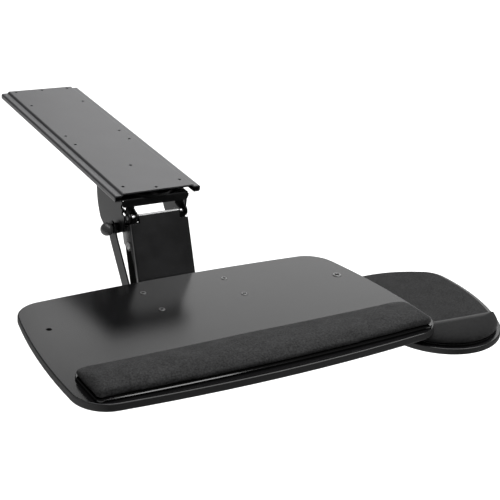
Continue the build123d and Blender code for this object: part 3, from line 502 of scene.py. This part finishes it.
def domed_pad(name, node, place, floor, height, rim, round_width, stretch, voxel, cap, material):
    """A cushion grown from its plan outline, with a full rounded edge all the way round."""
    crown_share = 0.12
    crown_width = 3 * round_width
    ring = plan_outline(node, place, 2 * MM, upper=False)
    middle = (min(point.x for point in ring) + max(point.x for point in ring)) / 2
    ring = [Vector((middle + (point.x - middle) * stretch, point.y)) for point in ring]
    mesh = bmesh.new()
    low = [mesh.verts.new((point.x, point.y, floor)) for point in ring]
    high = [mesh.verts.new((point.x, point.y, floor + height)) for point in ring]
    walled(mesh, low, high)
    mesh.faces.new(high)
    mesh.faces.new(list(reversed(low)))
    piece = add_mesh(name, mesh, material)
    remeshed(piece, voxel, 1)
    tree = outline_tree(ring)
    for vertex in piece.data.vertices:
        distance = tree.find((vertex.co.x, vertex.co.y, 0))[2]
        rise = math.sqrt(1 - (1 - min(distance / round_width, 1)) ** 2)
        crown = 1 - crown_share + crown_share * min(distance / crown_width, 1)
        share = (rim + (height - rim) * rise * crown) / height
        vertex.co = place @ Vector((vertex.co.x, vertex.co.y, floor + (vertex.co.z - floor) * share))
    return settled(piece, place, floor, cap)


def inset_ring(mesh, ring, tree, place, inset, level):
    """A ring of vertices inside a plan outline, held back where it would cross itself."""
    clear_share = 0.93
    spots = []
    for i, point in enumerate(ring):
        ahead = ring[(i + 1) % len(ring)] - ring[i - 1]
        spots.append(point + Vector((-ahead.y, ahead.x)).normalized() * inset)
    clear = [tree.find(spot.to_3d())[2] > inset * clear_share for spot in spots]
    loop = []
    for i in range(len(ring)):
        back = next((j for j in range(len(ring)) if clear[i - j]), 0)
        spot = spots[i - back]
        loop.append(mesh.verts.new(place @ Vector((spot.x, spot.y, level))))
    return loop


def edged_pad(name, node, place, height, edge, material):
    """A flat cloth-faced pad with a rolled rim and a slightly sunk seam just inside it."""
    overhang = 0.3 * MM
    merge = 0.01 * MM
    seam_dip = 0.18 * edge
    ring = plan_outline(node, place, 3 * MM)
    profile = [
        (0.0, 0.0),
        (0.0, height - edge),
        (0.3 * edge, height - 0.25 * edge),
        (edge, height),
        (2.2 * edge, height),
        (2.8 * edge, height - seam_dip),
        (3.4 * edge, height),
        (8 * edge, height),
    ]
    mesh = bmesh.new()
    tree = outline_tree(ring)
    rings = [inset_ring(mesh, ring, tree, place, inset - overhang, level) for inset, level in profile]
    for low, high in zip(rings, rings[1:]):
        walled(mesh, low, high)
    inner = [v for i, v in enumerate(rings[-1]) if (v.co - rings[-1][i - 1].co).length > merge]
    mesh.faces.new(inner)
    mesh.faces.new(list(reversed(rings[0])))
    bmesh.ops.remove_doubles(mesh, verts=mesh.verts, dist=merge)
    bmesh.ops.recalc_face_normals(mesh, faces=mesh.faces)
    return add_mesh(name, mesh, material)


def cross_recess(name, place, radius, width):
    """A near-black cross a hair above a screw's head: painted shade standing in for the hollow of its cross
    slot.
    """
    lift = 0.04 * MM
    taper = 0.7
    half = width / 2
    arm = [(radius, -half), (radius, half), (half, half)]
    turns = [(1, 0), (0, 1), (-1, 0), (0, -1)]
    points = [(x * c - y * s, x * s + y * c) for c, s in turns for x, y in arm]
    mesh = bmesh.new()
    rim = [mesh.verts.new(place @ Vector((x, y, 0))) for x, y in points]
    top = [mesh.verts.new(place @ Vector((x * taper, y * taper, lift))) for x, y in points]
    walled(mesh, rim, top)
    mesh.faces.new(top)
    mesh.faces.new(list(reversed(rim)))
    bmesh.ops.recalc_face_normals(mesh, faces=mesh.faces)
    return add_mesh(name, mesh, RECESS_SHADE)


# Soft pieces
palm = soft_pad(
    "palm_rest_pad", "palm_cushion", BOARD, floor=3.75 * MM, voxel=3 * MM, cap=1.2 * MM, spread=1.6 * MM,
)
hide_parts("palm_cushion")
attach(palm, "tray")

mouse_palm = domed_pad(
    "mouse_rest_pad", "mouse_palm_cushion", MOUSE,
    floor=3 * MM, height=12 * MM, rim=2.5 * MM, round_width=24 * MM, stretch=1.06,
    voxel=2.5 * MM, cap=0.9 * MM, material=MOUSE_CUSHION,
)
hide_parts("mouse_palm_cushion")
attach(mouse_palm, "mouse")

mouse_pad = edged_pad("mouse_pad_cloth", "mouse_pad", MOUSE, height=2 * MM, edge=0.8 * MM, material=PAD)
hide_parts("mouse_pad")
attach(mouse_pad, "mouse")

# Painted shade of the cross recesses of the screws that show
BOARD_SCREW_SIDE = 67.4 * MM
BOARD_SCREW_ROWS = (-23.8 * MM, -81.7 * MM)
BOARD_SCREW_HEAD = 0.82 * MM
PIVOT_SCREW_HEAD = 1.02 * MM
COVER_SCREW_HEAD = 50.22 * MM
BOARD_SCREW_TURN = 0.5
PIVOT_SCREW_TURN = 0.3
screw_spots = [(side * BOARD_SCREW_SIDE, row) for row in BOARD_SCREW_ROWS for side in (-1, 1)]
for number, (x, y) in enumerate(screw_spots):
    spot = BOARD @ Matrix.Translation((x, y, BOARD_SCREW_HEAD))
    spot = spot @ Matrix.Rotation(BOARD_SCREW_TURN + number, 4, "Z")
    cross = cross_recess("board_screw_recess_%d" % number, spot, radius=2.9 * MM, width=2.2 * MM)
    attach(cross, "tray")

spot = BOARD @ Matrix.Translation((PIVOT_SIDE, -PIVOT_FORWARD, PIVOT_SCREW_HEAD))
spot = spot @ Matrix.Rotation(PIVOT_SCREW_TURN, 4, "Z")
cross = cross_recess("pivot_screw_recess", spot, radius=4.4 * MM, width=3.2 * MM)
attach(cross, "tray")

low_corner, high_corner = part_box("cover_screws")
screw_middle = (Vector(low_corner) + Vector(high_corner)) / 2
for side, side_name in ((-1, "left"), (1, "right")):
    spot = Matrix.Translation((side * COVER_SCREW_HEAD, screw_middle.y, screw_middle.z))
    spot = spot @ Matrix.Rotation(side * math.pi / 2, 4, "Y")
    cross = cross_recess("cover_screw_recess_" + side_name, spot, radius=1.3 * MM, width=0.5 * MM)
    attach(cross, "arm")

# Floor
FLOOR_LEVEL = -0.72
FLOOR_HALF = 25
FLOOR_WHITE = 0.93
corners = [(x * FLOOR_HALF, y * FLOOR_HALF, FLOOR_LEVEL) for x, y in ((-1, -1), (1, -1), (1, 1), (-1, 1))]
floor_mesh = bpy.data.meshes.new("floor")
floor_mesh.from_pydata(corners, [], [(0, 1, 2, 3)])
floor_material, _, floor_shader = new_material("floor_white")
floor_shader.inputs["Base Color"].default_value = (*grey(FLOOR_WHITE), 1)
floor_shader.inputs["Roughness"].default_value = 0.9
floor_shader.inputs["Specular IOR Level"].default_value = 0.0
floor = add_object("floor", floor_mesh, floor_material)


# Light
def area_light(name, place, aim, size, power):
    light = bpy.data.lights.new(name, "AREA")
    light.shape = "RECTANGLE"
    light.size, light.size_y = size
    light.energy = power
    lamp = bpy.data.objects.new(name, light)
    bpy.context.scene.collection.objects.link(lamp)
    place = Vector(place)
    lamp.location = place
    lamp.rotation_euler = (Vector(aim) - place).to_track_quat("-Z", "Y").to_euler()


WORLD_STRENGTH = 0.10
area_light("top_softbox", place=(2.2, 0.6, 4.9), aim=(2.2, 0.6, 0), size=(6.0, 6.0), power=615)
area_light("rear_softbox", place=(3.05, 3.95, 1.7), aim=(0.0, -0.2, -0.1), size=(3.3, 2.1), power=43)
area_light("front_strip", place=(1.2, -1.4, 2.0), aim=(0.0, -0.35, -0.1), size=(1.6, 0.35), power=17)

world = bpy.data.worlds.new("studio")
world.use_nodes = True
background = world.node_tree.nodes["Background"]
background.inputs["Color"].default_value = (1, 1, 1, 1)
background.inputs["Strength"].default_value = WORLD_STRENGTH
bpy.context.scene.world = world

# Camera, as solved from the photo
CAMERA_PLACE = (-0.81795, -1.683035, 0.72531)
CAMERA_RIGHT = (0.8499143, -0.5156058, 0.1086111)
CAMERA_UP = (0.1441004, 0.4257065, 0.8933135)
CAMERA_BACK = (-0.5068341, -0.743589, 0.436113)
camera_data = bpy.data.cameras.new("photo_camera")
camera_data.sensor_width = 36.0
camera_data.lens = 88.304
camera_data.clip_end = 100.0
camera = bpy.data.objects.new("photo_camera", camera_data)
bpy.context.scene.collection.objects.link(camera)
camera_turn = Matrix((CAMERA_RIGHT, CAMERA_UP, CAMERA_BACK)).transposed().to_4x4()
camera.matrix_world = Matrix.Translation(CAMERA_PLACE) @ camera_turn
bpy.context.scene.camera = camera
bpy.context.scene.view_settings.view_transform = "Standard"
